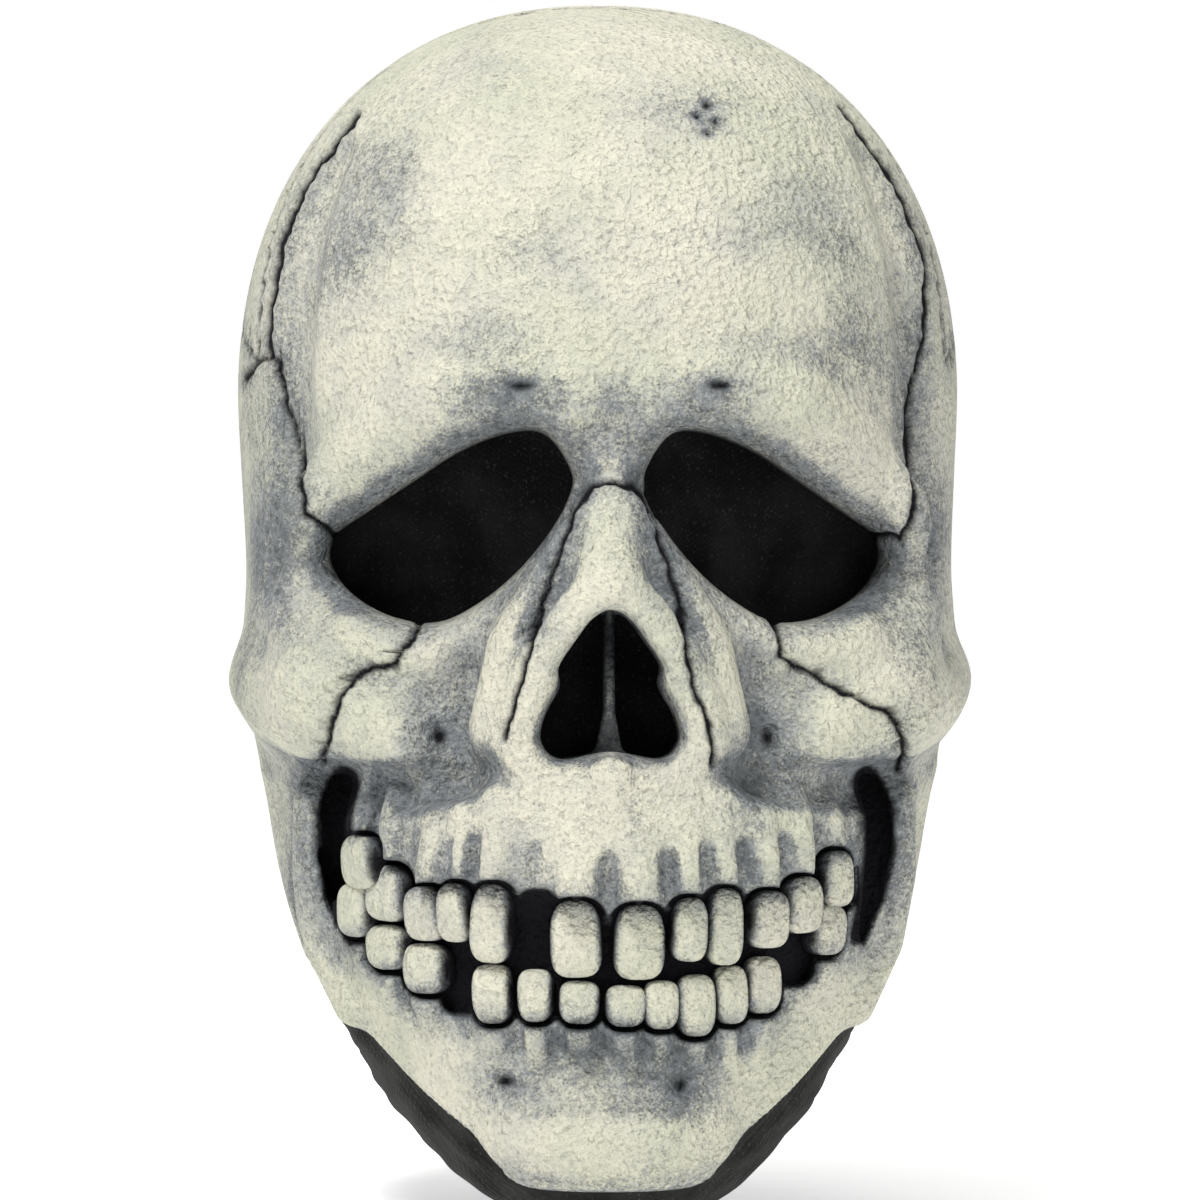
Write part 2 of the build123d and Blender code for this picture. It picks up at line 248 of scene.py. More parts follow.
class Clay:
    """A block of clay held as signed distances on a grid, in millimetres."""

    def __init__(self, step):
        self.step = step
        self.low = np.array([-99.0, -126.0, -6.0])
        high = np.array([99.0, 128.0, 291.0])
        self.count = np.ceil((high - self.low) / step).astype(int) + 1
        self.axes = [(self.low[k] + step * np.arange(self.count[k])).astype(np.float32) for k in range(3)]
        self.x = self.axes[0][:, None, None]
        self.y = self.axes[1][None, :, None]
        self.z = self.axes[2][None, None, :]
        self.base = self.head_form()
        self.skin = self.base.copy()

    def head_form(self):
        width, front, wide, back = [v.astype(np.float32)[None, None, :] for v in station_values(self.axes[2])]
        along = self.y - wide
        reach = np.where(along < 0, wide - front, back - wide)
        rise = np.maximum(self.z - CROWN_Z, 0) / CROWN_RISE
        g = (np.abs(self.x) / width) ** SQUARENESS + (np.abs(along) / reach) ** SQUARENESS + rise**SQUARENESS
        f = g ** (1 / SQUARENESS) - 1
        slope = np.zeros_like(f)
        for axis in range(3):
            slope += np.gradient(f, self.step, axis=axis).astype(np.float32) ** 2
        return (f / np.maximum(np.sqrt(slope), 1e-3)).astype(np.float32)

    def window(self, low, high):
        """The part of the grid between two corners: slices and its coordinates."""
        i0 = np.clip(np.floor((np.array(low) - self.low) / self.step).astype(int), 0, self.count - 2)
        i1 = np.clip(np.ceil((np.array(high) - self.low) / self.step).astype(int) + 1, i0 + 2, self.count)
        where = tuple(slice(a, b) for a, b in zip(i0, i1))
        return where, self.x[where[0]], self.y[:, where[1]], self.z[:, :, where[2]]

    def apply(self, where, shape, blend, cut):
        now = self.skin[where]
        new = smooth_high(now, -shape, blend) if cut else smooth_low(now, shape, blend)
        self.skin[where] = new.astype(np.float32)

    def ball(self, centre, radii, blend=6.0, cut=False, turn=0.0):
        """Adds or cuts an ellipsoid, turned about Z by `turn` degrees."""
        c, r = np.array(centre, float), np.array(radii, float)
        pad = r.max() + blend + 2
        where, x, y, z = self.window(c - pad, c + pad)
        ca, sa = math.cos(math.radians(turn)), math.sin(math.radians(turn))
        px, py = (x - c[0]) * ca + (y - c[1]) * sa, -(x - c[0]) * sa + (y - c[1]) * ca
        pz = z - c[2]
        k0 = np.sqrt((px / r[0]) ** 2 + (py / r[1]) ** 2 + (pz / r[2]) ** 2)
        k1 = np.sqrt((px / r[0] ** 2) ** 2 + (py / r[1] ** 2) ** 2 + (pz / r[2] ** 2) ** 2)
        self.apply(where, k0 * (k0 - 1) / np.maximum(k1, 1e-6), blend, cut)

    def limb(self, points, blend=5.0, cut=False):
        """Adds or cuts a rounded rope through (x, y, z, radius) points."""
        pts = np.array(points, float)
        pad = pts[:, 3].max() + blend + 2
        where, x, y, z = self.window(pts[:, :3].min(0) - pad, pts[:, :3].max(0) + pad)
        shape = None
        for a, b in zip(pts[:-1], pts[1:]):
            d = b[:3] - a[:3]
            t = np.clip(((x - a[0]) * d[0] + (y - a[1]) * d[1] + (z - a[2]) * d[2]) / max(d @ d, 1e-9), 0, 1)
            far = np.sqrt((x - a[0] - t * d[0]) ** 2 + (y - a[1] - t * d[1]) ** 2 + (z - a[2] - t * d[2]) ** 2)
            far = far - (a[3] + t * (b[3] - a[3]))
            shape = far if shape is None else np.minimum(shape, far)
        self.apply(where, shape, blend, cut)

    def front(self, x, z, lift=0.0):
        """The y of the clay's front surface at (x, z), moved out by lift."""
        i = int(round((x - self.low[0]) / self.step))
        k = int(round((z - self.low[2]) / self.step))
        column = self.skin[i, :, k]
        j = int(np.argmax(column < 0))
        a, b = column[j - 1], column[j]
        return float(self.axes[1][j - 1] + self.step * a / (a - b)) - lift

    def on_face(self, points):
        """Turns (x, lift, z, radius) points into places on the front surface."""
        return [(x, self.front(x, z, lift), z, r) for x, lift, z, r in points]

    def sample(self, field, p):
        """Trilinear values of a field at points p."""
        q = (p - self.low) / self.step
        q = np.clip(q, 0, self.count - 1.001)
        i = q.astype(int)
        f = q - i
        out = np.zeros(len(p))
        for dx in (0, 1):
            for dy in (0, 1):
                for dz in (0, 1):
                    w = (f[:, 0] if dx else 1 - f[:, 0]) * (f[:, 1] if dy else 1 - f[:, 1]) * (
                        f[:, 2] if dz else 1 - f[:, 2]
                    )
                    out += w * field[i[:, 0] + dx, i[:, 1] + dy, i[:, 2] + dz]
        return out


def screen_depth(x):
    """The y of an eye screen's front plane at x."""
    return SCREEN_INNER[1] + (np.abs(x) - SCREEN_INNER[0]) * math.tan(SCREEN_TURN)


def line_height(line, y):
    """Height of a side outline at y."""
    dense = rounded_outline(line, closed=False)
    return np.interp(y, dense[:, 0], dense[:, 1])


def bite(x):
    """Height of the line between the two rows of teeth."""
    return 58.2 + 0.0062 * x * x


def mouth_bed(x, z):
    """Distance in the front view to the dark bed that the teeth stand in: a slot round each tooth."""
    best = np.maximum(np.abs(z - bite(x)) - 4.2, np.abs(x) - 57.0)
    for cx, width, low, high in UPPER_TEETH + LOWER_TEETH + LOST_TEETH:
        arch = width * 0.42
        qx = np.abs(x - cx) - (width / 2 - arch)
        qz = np.abs(z - (low + high) / 2) - ((high - low) / 2 - arch)
        slot = np.sqrt(
            np.maximum(qx, 0) ** 2 + np.maximum(qz, 0) ** 2
        ) + np.minimum(np.maximum(qx, qz), 0) - arch - 1.3
        best = np.minimum(best, slot)
    return best


def sculpt(clay):
    """Raises the skull's bones on the head form and cuts its hollows, notches and grooves."""
    face = clay.on_face
    clay.ball((0, -92, 92), (43, 24, 27), 12)
    for s in (-1, 1):
        # brow, its outer corner and the cheekbone with its arch
        clay.limb(
            face(
                [
                    (s * 10, -5, 184, 8), (s * 24, -4.6, 190, 9), (s * 40, -4.4, 186, 9.5),
                    (s * 54, -4.4, 175, 9), (s * 66, -4.0, 163, 7.5),
                ]
            ),
            8,
        )
        clay.limb(
            face(
                [
                    (s * 67, -3.2, 164, 6.5), (s * 69.5, -3.2, 152, 7), (s * 68, -4.4, 140, 10),
                    (s * 62, -6, 125, 14), (s * 49, -5, 114, 10.5), (s * 40, -4.5, 109, 7),
                ]
            ),
            7,
        )
        clay.limb(
            face(
                [
                    (s * 17, -3.6, 146, 5.5), (s * 25, -3.4, 138.5, 6), (s * 38, -3.0, 131, 7),
                    (s * 54, -4, 133, 8),
                ]
            ),
            6,
        )
        clay.limb(
            [(s * 64, -70, 118, 12), (s * 74, -50, 121, 9.5), (s * 78.6, -24, 124, 8), (s * 79.5, 4, 127, 6)], 7
        )
        # temple: a long valley beside the forehead and a pit behind the eye's outer corner
        clay.limb(
            [
                (s * 76, -58, 172, 8.6), (s * 77.5, -57, 195, 9.4), (s * 75, -54, 222, 8.6),
                (s * 66, -45, 245, 5.6),
            ],
            8, cut=True,
        )
        clay.limb([(s * 79.5, -56, 169, 9), (s * 80.5, -55, 157, 12), (s * 80, -53, 147, 9.5)], 4, cut=True)
        # dishes beside the nose, the notch under the cheekbone and the jaw's hollow flank
        clay.ball((s * 35, clay.front(s * 35, 113, 4.5), 115), (12, 10.5, 16), 7, cut=True)
        clay.limb(
            face(
                [
                    (s * 34, 1.6, 103, 4.2), (s * 44, 1.0, 101, 4.8), (s * 56, 0.4, 100.5, 5),
                    (s * 66, 0.6, 101.5, 5),
                ]
            ),
            3.5, cut=True,
        )
        clay.limb([(s * 73, -56, 101, 5), (s * 82, -34, 104, 5), (s * 86, -10, 108, 4)], 4, cut=True)
        clay.ball((s * 84, -40, 86), (11, 30, 18), 9, cut=True)
        clay.limb(
            face(
                [(s * 66, -3.6, 96, 5), (s * 66.5, -3.6, 80, 5.2), (s * 64, -3.6, 64, 5), (s * 57, -4, 50, 5)]
            ),
            5,
        )
        clay.limb(face([(s * 72, 1.6, 98, 3), (s * 72.5, 1.6, 80, 3.2), (s * 70, 1.6, 62, 2.6)]), 4, cut=True)
    clay.ball((0, -98, 22), (25, 14, 13), 10)
    clay.ball((0, -114, 175), (13, 13, 11), 7, cut=True)
    clay.ball((0, clay.front(0, 39, 4), 39), (36, 8, 7), 8, cut=True)
    # nasal bones, the cheeks' upright walls beside them, the rim of the nose opening and its lower spine
    clay.limb([(0, -98, 171, 4.5), (0, -106, 161, 6), (0, -112, 148, 7.5)], 6)
    for s in (-1, 1):
        clay.limb(
            [
                (s * 6, -103, 163, 5), (s * 13, -103, 147, 7), (s * 19, -101.5, 131, 8.5),
                (s * 23, -100.5, 114, 8.5),
            ],
            6,
        )
        clay.limb(
            [(s * 9.5, -113, 163, 2.2), (s * 14.5, -112.5, 146, 2.6), (s * 18, -111.5, 136, 2.2)], 4, cut=True
        )
        clay.limb(
            [
                (0, -114.5, 146, 5.2), (s * 7, -113.5, 140.5, 5.2), (s * 14.6, -111.5, 130, 5.4),
                (s * 19, -109.5, 120, 5.6), (s * 20.6, -108, 111, 5.4), (s * 15, -109, 103.4, 4.8),
                (0, -111, 101.5, 4.6),
            ],
            3,
        )
    clay.limb([(0, -114, 104.5, 4.6), (0, -113.5, 99, 3.8), (0, -110.5, 90, 3.4), (0, -109.5, 80, 3)], 3)
    # roots above and below the teeth, with grooves between them
    for row, way, run in ((UPPER_TEETH, 1, 1.0), (LOWER_TEETH, -1, 0.55)):
        for k, (x, width, low, high) in enumerate(row):
            gum = high if way > 0 else low
            long = run * (16 + 4 * math.sin(k * 2.1))
            clay.limb(
                face(
                    [
                        (x, 0.6 - width * 0.08, gum + way * 0.8, width * 0.48),
                        (x * 0.985, 0.3 - width * 0.14, gum + way * long * 0.5, width * 0.42),
                        (x * 0.96, -width * 0.26, gum + way * long, width * 0.3),
                    ]
                ),
                2.6,
            )
        for k, ((x0, w0, low0, high0), (x1, w1, low1, high1)) in enumerate(zip(row[:-1], row[1:])):
            between = (x0 + w0 / 2 + x1 - w1 / 2) / 2
            gum = (high0 + high1) / 2 if way > 0 else (low0 + low1) / 2
            deep = 0.5 + 0.7 * math.sin(k * 1.7 + way) ** 2
            clay.limb(
                face(
                    [
                        (between, deep * run, gum + way * 1.5, 1.0),
                        (between * 0.98, 0, gum + way * 10 * run, 0.8),
                    ]
                ),
                2.4, cut=True,
            )


def front_outline_cut(clay, outline, y_back, blend, y_front=-130.0):
    """The shape of an opening drawn as seen from the front, back to y_back (a number or one for each x), with
    the part of the grid it lies in.
    """
    pts = rounded_outline(outline)
    flat = outline_distance(pts, clay.x[:, 0], clay.z[0]).astype(np.float32)[:, None, :]
    near = flat.min(axis=(1, 2)) < 14
    xs = slice(int(np.argmax(near)), int(len(near) - np.argmax(near[::-1])))
    ys = slice(0, int((-20 - clay.low[1]) / clay.step))
    shape = np.maximum(flat[xs], clay.y[:, ys] - (y_back[xs] if hasattr(y_back, "shape") else y_back))
    where = (xs, ys, slice(None))
    return where, shape


def make_mask_clay(step):
    """The sculpted head with its mouth, slots, sockets and nose opened."""
    clay = Clay(step)
    sculpt(clay)
    clay.teeth_bed = [
        (
            x, width, low, high, clay.front(x, (low + high) / 2), clay.front(x - 2.5, (low + high) / 2),
            clay.front(x + 2.5, (low + high) / 2),
        )
        for x, width, low, high in UPPER_TEETH + LOWER_TEETH
    ]
    x2, z2 = clay.x[:, 0], clay.z[0]
    band = mouth_bed(x2, z2)[:, None, :].astype(np.float32)
    front = slice(0, int((-20 - clay.low[1]) / clay.step))
    where = (slice(None), front, slice(None))
    now = clay.skin[where]
    clay.skin[where] = smooth_high(now, -np.maximum(band, -(now + MOUTH_DEPTH)), 1.4)
    # slots between the molars and the jaw
    for s in (-1, 1):
        for lift in (0.5, -3.5):
            clay.limb(clay.on_face([(x * s, lift, z, r) for x, z, r in JAW_SLOT]), 1.6, cut=True)
    for x, z, across, tall in PITS:
        clay.ball((x, clay.front(x, z), z), (across, 2.2, tall), 2, cut=True)
    depth = screen_depth(clay.x)
    for outline in EYES:
        where, shape = front_outline_cut(clay, outline, depth + 4, 6)
        clay.skin[where] = smooth_high(clay.skin[where], -shape, 6.5)
    where, shape = front_outline_cut(clay, NOSE_OPENING, NOSE_BACK + 4, 4)
    septum = np.maximum(
        np.abs(clay.x) - (1.3 + 2.2 * np.clip((118 - clay.z) / 12, 0, 1)),
        -(clay.y + 99 - 4 * np.clip((118 - clay.z) / 12, 0, 1)),
    )
    shape = smooth_high(shape, -septum[where[0], where[1]] if septum.shape[1] > 1 else -septum, 1.5)
    clay.skin[where] = smooth_high(clay.skin[where], -shape, 3.0)
    # the cut edge below the jaw and round the nape
    edge = line_height(CUT_LINE, clay.axes[1])[None, :, None].astype(np.float32)
    clay.edge = (edge - clay.z) * 0.8
    return clay


def hollow_out(clay):
    """The casting's wall as distances: the sculpted skin less the room inside it."""
    room = np.maximum(clay.base + WALL, clay.skin + THIN_WALL)
    wall = np.maximum(clay.skin, -room)
    depth = screen_depth(clay.x)
    for outline, back in ((EYES[0], depth), (EYES[1], depth), (NOSE_OPENING, NOSE_BACK)):
        pts = rounded_outline(outline)
        flat = outline_distance(pts, clay.x[:, 0], clay.z[0]).astype(np.float32)[:, None, :]
        behind = np.maximum(flat - 4.5, np.maximum((back - 0.1) - clay.y, clay.y - (back + 16)))
        wall = np.maximum(wall, -behind)
    return smooth_high(wall, clay.edge, 1.0)


def clay_mesh(name, clay, field, corner=None):
    """Turns a field into a mesh object in metres."""
    import openvdb

    grid = openvdb.FloatGrid(4.0)
    grid.copyFromArray(np.clip(field, -4, 4).astype(np.float32), tolerance=0.0)
    points, triangles, quads = grid.convertToPolygons(isovalue=0.0, adaptivity=0.0)
    points = points * clay.step + (clay.low if corner is None else corner)
    mesh = bpy.data.meshes.new(name)
    faces = [tuple(q) for q in quads.tolist()] + [tuple(t) for t in triangles.tolist()]
    mesh.from_pydata((points * MM).tolist(), [], faces)
    mesh.update()
    obj = bpy.data.objects.new(name, mesh)
    bpy.context.collection.objects.link(obj)
    return obj


def wobble(u, v, size):
    """A wandering offset for hand-cut lines."""
    return size * (
        0.55 * np.sin(u * 0.83 + v * 0.31 + 1.3) + 0.45 * np.sin(v * 1.47 - u * 0.42)
        + 0.25 * np.sin(u * 1.9 + v * 1.6 + 0.7)
    )


def crack_distance(p, n):
    """Distance of surface points (mm) to the nearest suture line drawn on their side of the head."""
    best = np.full(len(p), 99.0)
    views = (
        (FRONT_CRACKS, n[:, 1] < 0.25, p[:, 1] < 0, 0, 2),
        (BACK_CRACKS, n[:, 1] > -0.1, p[:, 1] > 30, 0, 2),
        (TOP_CRACKS, n[:, 2] > 0.25, p[:, 2] > 215, 0, 1),
        (SIDE_CRACKS, np.abs(n[:, 0]) > 0.35, np.abs(p[:, 0]) > 45, 1, 2),
    )
    for lines, facing, place, iu, iv in views:
        use = np.nonzero(facing & place)[0]
        if not len(use):
            continue
        u, v = p[use, iu], p[use, iv]
        size = 0.4 if lines is FRONT_CRACKS else 1.5
        du, dv = wobble(v, u, size), wobble(u + 40, v, size)
        for line in lines:
            best[use] = np.minimum(best[use], line_distance(np.array(line, float), u + du, v + dv))
    return best


def mesh_arrays(obj):
    """Vertex places (mm) and normals of a mesh."""
    count = len(obj.data.vertices)
    p, n = np.empty(count * 3), np.empty(count * 3)
    obj.data.vertices.foreach_get("co", p)
    obj.data.vertices.foreach_get("normal", n)
    return p.reshape(-1, 3) / MM, n.reshape(-1, 3)


def set_places(obj, p):
    obj.data.vertices.foreach_set("co", (p * MM).ravel())
    obj.data.update()


def paint(obj, name, values):
    """Stores one value for each vertex under a name that a material reads."""
    layer = obj.data.attributes.get(name) or obj.data.attributes.new(name, "FLOAT", "POINT")
    layer.data.foreach_set("value", np.ascontiguousarray(values, dtype=np.float32))


def select_only(obj):
    bpy.ops.object.select_all(action="DESELECT")
    obj.select_set(True)
    bpy.context.view_layer.objects.active = obj


def apply_modifier(obj, kind, **settings):
    select_only(obj)
    modifier = obj.modifiers.new(kind.lower(), kind)
    for key, value in settings.items():
        setattr(modifier, key, value)
    bpy.ops.object.modifier_apply(modifier=modifier.name)


def finish_piece(obj, body, slot, *nodes, material=None):
    """Puts a piece on its body, gives it the material when one is passed and hides the frame nodes it stands
    for; the slot is not used.
    """
    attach(obj, body)
    if nodes:
        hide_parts(*nodes)
    if material:
        obj.data.materials.clear()
        obj.data.materials.append(material)


# ---- materials -----------------------------------------------------------------------------
class Nodes:
    """Short hand for building a node tree."""

    def __init__(self, tree):
        self.tree = tree

    def add(self, kind, **values):
        node = self.tree.nodes.new(kind)
        for key, value in values.items():
            setattr(node, key, value)
        return node

    def link(self, a, b):
        self.tree.links.new(a, b)

    def math(self, operation, a, b=None, c=None, clamp=False):
        node = self.add("ShaderNodeMath", operation=operation, use_clamp=clamp)
        for socket, value in zip(node.inputs, (a, b, c)):
            if value is None:
                continue
            if isinstance(value, (int, float)):
                socket.default_value = value
            else:
                self.link(value, socket)
        return node.outputs[0]

    def noise(self, vector, scale, detail=4.0, roughness=0.5, distortion=0.0):
        node = self.add("ShaderNodeTexNoise")
        node.inputs["Scale"].default_value = scale
        node.inputs["Detail"].default_value = detail
        node.inputs["Roughness"].default_value = roughness
        node.inputs["Distortion"].default_value = distortion
        self.link(vector, node.inputs["Vector"])
        return node.outputs["Fac"]

    def span(self, value, low, high, to_low=0.0, to_high=1.0):
        node = self.add("ShaderNodeMapRange", interpolation_type="SMOOTHSTEP")
        self.link(value, node.inputs["Value"])
        node.inputs["From Min"].default_value = low
        node.inputs["From Max"].default_value = high
        node.inputs["To Min"].default_value = to_low
        node.inputs["To Max"].default_value = to_high
        return node.outputs["Result"]

    def mix(self, factor, a, b, blend="MIX"):
        node = self.add("ShaderNodeMix", data_type="RGBA", blend_type=blend)
        for socket, value in ((node.inputs[0], factor), (node.inputs[6], a), (node.inputs[7], b)):
            if isinstance(value, (int, float)):
                socket.default_value = value
            elif isinstance(value, bpy.types.NodeSocket):
                self.link(value, socket)
            else:
                socket.default_value = (*value[:3], 1.0)
        return node.outputs[2]

    def attribute(self, name):
        return self.add("ShaderNodeAttribute", attribute_name=name).outputs["Fac"]

    def place(self):
        return self.add("ShaderNodeTexCoord").outputs["Object"]

    def bump(self, height, strength, distance, normal=None):
        node = self.add("ShaderNodeBump")
        node.inputs["Strength"].default_value = strength
        node.inputs["Distance"].default_value = distance
        self.link(height, node.inputs["Height"])
        if normal is not None:
            self.link(normal, node.inputs["Normal"])
        return node.outputs["Normal"]


def new_group(name, inputs, outputs):
    """An empty shader group with named sockets; inputs are (name, kind, default)."""
    tree = bpy.data.node_groups.new(name, "ShaderNodeTree")
    for label, kind, default in inputs:
        socket = tree.interface.new_socket(name=label, in_out="INPUT", socket_type=kind)
        if default is not None:
            socket.default_value = default
    for label, kind in outputs:
        tree.interface.new_socket(name=label, in_out="OUTPUT", socket_type=kind)
    n = Nodes(tree)
    return n, n.add("NodeGroupInput").outputs, n.add("NodeGroupOutput").inputs


def use_group(n, name, **links):
    node = n.add("ShaderNodeGroup", node_tree=bpy.data.node_groups[name])
    for label, value in links.items():
        socket = node.inputs[label.replace("_", " ")]
        if isinstance(value, (int, float)):
            socket.default_value = value
        else:
            n.link(value, socket)
    return node.outputs


def build_groups():
    """The shared surface effects: sponged wash with painted shade, stippled latex and woven cloth."""
    n, i, o = new_group(
        "Sponged wash and shade", [("Place", "NodeSocketVector", None), ("Amount", "NodeSocketFloat", 0.3)],
        [("Mask", "NodeSocketFloat")],
    )
    fine = n.noise(i["Place"], 1500, 3, 0.65)
    coarse = n.noise(i["Place"], 420, 4, 0.7)
    patches = n.noise(i["Place"], 34, 3, 0.55)
    grain = n.math("ADD", n.math("MULTIPLY", fine, 0.55), n.math("MULTIPLY", coarse, 0.45))
    lift = n.math(
        "ADD", n.math("MULTIPLY", i["Amount"], 0.42), n.math("MULTIPLY", n.math("SUBTRACT", patches, 0.5), 0.42)
    )
    threshold = n.math("SUBTRACT", n.math("ADD", grain, lift), 0.66)
    n.link(n.span(threshold, -0.10, 0.17), o["Mask"])

    n, i, o = new_group(
        "Stippled latex", [("Place", "NodeSocketVector", None)],
        [("Height", "NodeSocketFloat"), ("Pores", "NodeSocketFloat"), ("Low", "NodeSocketFloat")],
    )
    pebble = n.add("ShaderNodeTexVoronoi", feature="SMOOTH_F1")
    pebble.inputs["Scale"].default_value = 620
    n.link(i["Place"], pebble.inputs["Vector"])
    lumps = n.noise(i["Place"], 260, 3, 0.6)
    pores = n.noise(i["Place"], 900, 2, 0.6)
    height = n.math(
        "ADD", n.math("MULTIPLY", n.math("SUBTRACT", 1.0, pebble.outputs["Distance"]), 0.5),
        n.math("MULTIPLY", lumps, 0.8),
    )
    height = n.math("ADD", height, n.math("MULTIPLY", pores, 0.5))
    n.link(height, o["Height"])
    n.link(n.span(height, 0.78, 1.12, 1.0, 0.0), o["Low"])
    n.link(n.span(pores, 0.30, 0.42, 1.0, 0.0), o["Pores"])

    n, i, o = new_group(
        "Plain weave", [("Place", "NodeSocketVector", None), ("Threads", "NodeSocketFloat", 900.0)],
        [("Height", "NodeSocketFloat")],
    )
    split = n.add("ShaderNodeSeparateXYZ")
    n.link(i["Place"], split.inputs[0])
    waves = [n.math("SINE", n.math("MULTIPLY", split.outputs[axis], i["Threads"])) for axis in ("X", "Y", "Z")]
    level = n.math("MULTIPLY", n.math("ADD", waves[0], waves[1]), waves[2])
    n.link(
        n.math("ADD", n.math("MULTIPLY", level, 0.3), n.math("MULTIPLY", n.noise(i["Place"], 700, 3), 0.6)),
        o["Height"],
    )


def new_material(name, roughness, specular=0.35):
    material = bpy.data.materials.new(name)
    material.use_nodes = True
    n = Nodes(material.node_tree)
    shader = material.node_tree.nodes["Principled BSDF"]
    shader.inputs["Roughness"].default_value = roughness
    shader.inputs["Specular IOR Level"].default_value = specular
    return material, n, shader


def painted_latex(colours):
    """Cream latex with sponged blue-grey paint and painted shade, ink-black lines and a stippled skin."""
    material, n, shader = new_material("painted latex", 0.7, 0.12)
    place = n.place()
    tint = n.span(n.noise(place, 22, 3), 0.38, 0.64)
    veil = n.span(n.noise(place, 40, 6, 0.68), 0.44, 0.74)
    warm = n.span(n.noise(place, 55, 4), 0.42, 0.70)
    colour = n.mix(n.math("MULTIPLY", tint, 0.55), colours.cream, colours.moss)
    colour = n.mix(n.math("MULTIPLY", warm, 0.35), colour, colours.ivory)
    colour = n.mix(n.math("MULTIPLY", veil, 0.30), colour, colours.film_and_shade)
    stipple = use_group(n, "Stippled latex", Place=place)
    # Sponged paint and painted shade from one attribute: a soft grey film and a speckled dark over the hollows
    # and the sides of the head.
    wash_and_shade = n.attribute("wash_and_shade")
    mask = use_group(n, "Sponged wash and shade", Place=place, Amount=wash_and_shade)["Mask"]
    film_and_shade = n.math(
        "MULTIPLY", n.span(wash_and_shade, 0.12, 0.72), n.span(n.noise(place, 110, 5, 0.7), 0.3, 0.7, 0.25, 0.75)
    )
    colour = n.mix(film_and_shade, colour, colours.film_and_shade)
    colour = n.mix(n.math("MULTIPLY", mask, 0.86), colour, colours.wash_and_shade)
    # Painted shade in the skin's small hollows: the pores and the low points of the stipple are darkened, the
    # low points more where the wash and shade lie.
    colour = n.mix(n.math("MULTIPLY", stipple["Pores"], 0.30), colour, colours.wash_and_shade)
    colour = n.mix(n.math("MULTIPLY", stipple["Low"], n.span(wash_and_shade, 0.0, 0.5, 0.16, 0.42)), colour, colours.film_and_shade)
    ink = n.math("MAXIMUM", n.attribute("crack"), n.attribute("ink"), clamp=True)
    colour = n.mix(ink, colour, colours.ink)
    n.link(colour, shader.inputs["Base Color"])
    n.link(n.span(ink, 0.0, 1.0, 0.66, 0.95), shader.inputs["Roughness"])
    n.link(n.bump(stipple["Height"], 1.0, 0.0022), shader.inputs["Normal"])
    return material


def black_cloth(name, colour, threads, roughness=0.9):
    material, n, shader = new_material(name, roughness, 0.08)
    place = n.place()
    weave = use_group(n, "Plain weave", Place=place, Threads=threads)["Height"]
    fade = n.span(n.noise(place, 60, 4), 0.35, 0.7)
    lighter = tuple(min(1.0, c * 2.6 + 0.01) for c in colour)
    lint = n.span(n.noise(place, 1300, 2), 0.60, 0.70)
    shade = n.mix(n.math("MULTIPLY", fade, 0.6), tuple(colour), lighter)
    n.link(
        n.mix(n.math("MULTIPLY", lint, 0.35), shade, tuple(min(1.0, c * 6 + 0.03) for c in colour)),
        shader.inputs["Base Color"]
    )
    n.link(n.bump(weave, 0.6, 0.0004), shader.inputs["Normal"])
    shader.inputs["Sheen Weight"].default_value = 0.04
    return material


def fastener(name, colour, scale, depth, roughness=0.95):
    """Touch-and-close tape: a pile of loops or rows of hooks."""
    material, n, shader = new_material(name, roughness, 0.1)
    place = n.place()
    tufts = n.add("ShaderNodeTexVoronoi", feature="F1")
    tufts.inputs["Scale"].default_value = scale
    n.link(place, tufts.inputs["Vector"])
    # Painted highlight: each tuft is lighter at its top, fading to the tape's own black between tufts.
    n.link(
        n.mix(n.span(tufts.outputs["Distance"], 0.1, 0.6), tuple(c * 3 + 0.01 for c in colour), tuple(colour)),
        shader.inputs["Base Color"]
    )
    n.link(n.bump(n.math("SUBTRACT", 1.0, tufts.outputs["Distance"]), 1.0, depth), shader.inputs["Normal"])
    return material


def foam(colour):
    material, n, shader = new_material("open-cell foam", 0.95, 0.1)
    place = n.place()
    cells = n.add("ShaderNodeTexVoronoi", feature="F1")
    cells.inputs["Scale"].default_value = 700
    n.link(place, cells.inputs["Vector"])
    # Painted shade: each open cell of the foam is darker at its middle, where shade falls into the pore.
    n.link(
        n.mix(n.span(cells.outputs["Distance"], 0.2, 0.7), tuple(c * 0.35 for c in colour), tuple(colour)),
        shader.inputs["Base Color"]
    )
    n.link(n.bump(cells.outputs["Distance"], 0.8, 0.0006), shader.inputs["Normal"])
    return material


# The sculpted clay, kept for the teeth and the pads that are shaped after the casting.
CLAY = {}


# ---- what a user changes -------------------------------------------------------------------
def colour_prop(label, words, default):
    return FloatVectorProperty(
        name=label, description=words, default=default, subtype="COLOR", size=3, min=0, max=1
    )


class MASK_PG_settings(bpy.types.PropertyGroup):
    """Sizes and colours of the mask"""

    voxel: FloatProperty(
        name="Clay grain", description="Finest shape that the casting holds, in mm", default=0.9, min=0.6,
        max=3.0,
    )
    cream: colour_prop("Cream", "Main colour of the latex", (0.66, 0.635, 0.515))
    ivory: colour_prop("Ivory", "Warm patches of the latex", (0.74, 0.71, 0.58))
    moss: colour_prop("Moss", "Greenish patches of the latex", (0.53, 0.55, 0.41))
    # Film and wash are the sponged paint's colours and also the colours of the painted shade in the hollows and
    # down the sides.
    film_and_shade: colour_prop("Film", "Thin grey film around hollows", (0.28, 0.30, 0.315))
    wash_and_shade: colour_prop("Wash", "Sponged blue-grey in hollows", (0.060, 0.072, 0.086))
    ink: colour_prop("Ink", "Black of the lines and gaps", (0.008, 0.008, 0.010))
    cloth: colour_prop("Cloth", "Collar and tapes", (0.012, 0.012, 0.011))
    foam: colour_prop("Foam", "Pads inside the crown", (0.10, 0.10, 0.105))


def settings():
    return bpy.context.scene.skull_mask


